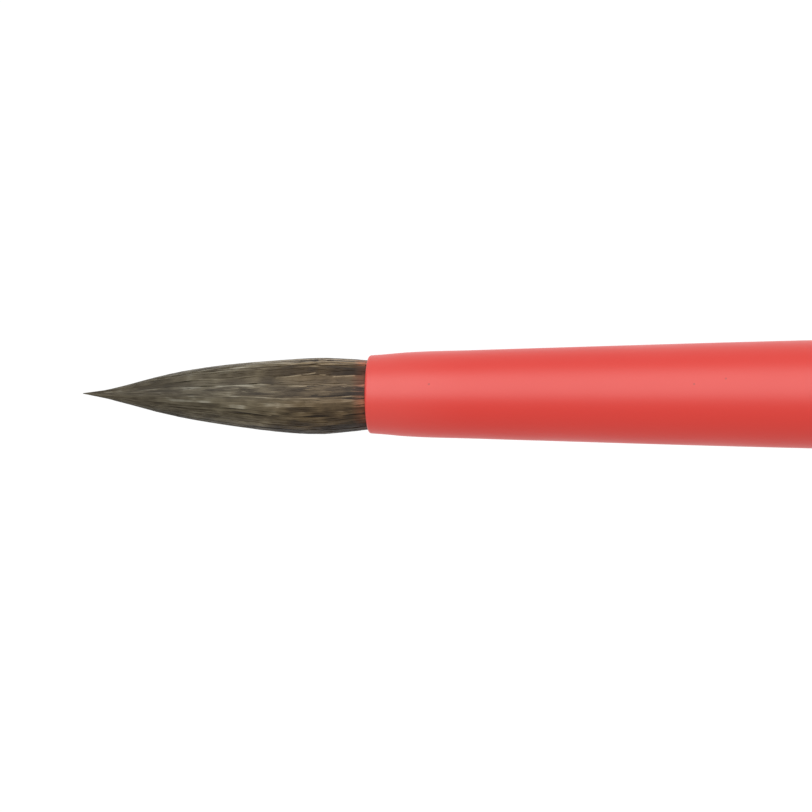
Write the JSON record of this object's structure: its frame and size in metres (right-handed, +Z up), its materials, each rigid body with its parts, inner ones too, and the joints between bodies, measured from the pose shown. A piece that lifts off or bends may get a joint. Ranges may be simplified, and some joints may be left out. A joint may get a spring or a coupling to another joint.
{
  "type": "fine detail brush",
  "caption": "Pointed hair detail brush: a tapered natural-hair tuft set straight into the mouth of a lacquered, turned handle with no metal ferrule.",
  "frame": {"origin": "on the table plane, under the middle of the brush's whole length, with the fattest part of the handle touching z = 0", "axes": "+X along the brush from the tip of the hairs towards the tail of the handle; +Z up from the table; the brush is round about its own line, which runs along X at z = 4.7 mm"},
  "size_m": [0.175, 0.0094, 0.0094],
  "materials": {
    "coral_lacquer": "satin coral-red lacquer over turned hardwood",
    "cover_hair": "grey-brown natural hair, set to a point",
    "core_hair": "darker grey-brown natural hair",
    "hemp_thread": "waxed natural thread",
    "clear_glue": "cured amber glue",
    "fused_seal": "dark resin, fused into the hair butts"
  },
  "bodies": {
    "handle": {"handle": "coral_lacquer", "root_bundle": "core_hair", "binding_thread_front": "hemp_thread", "binding_thread_rear": "hemp_thread", "root_seal": "fused_seal", "glue_bed": "clear_glue"},
    "tuft": {"cover_hairs": "cover_hair", "waist_hairs": "core_hair", "belly_hairs": "core_hair", "throat_hairs": "core_hair", "point_hairs": "core_hair"}
  },
  "joints": [
    {"name": "tuft_bend", "type": "hinge", "parent": "handle", "child": "tuft", "pos_m": [-0.0617, 0, 0.0047], "axis": [0, 1, 0], "range_deg": [-30, 30], "stiffness_Nm_per_rad": 0.0024}
  ]
}
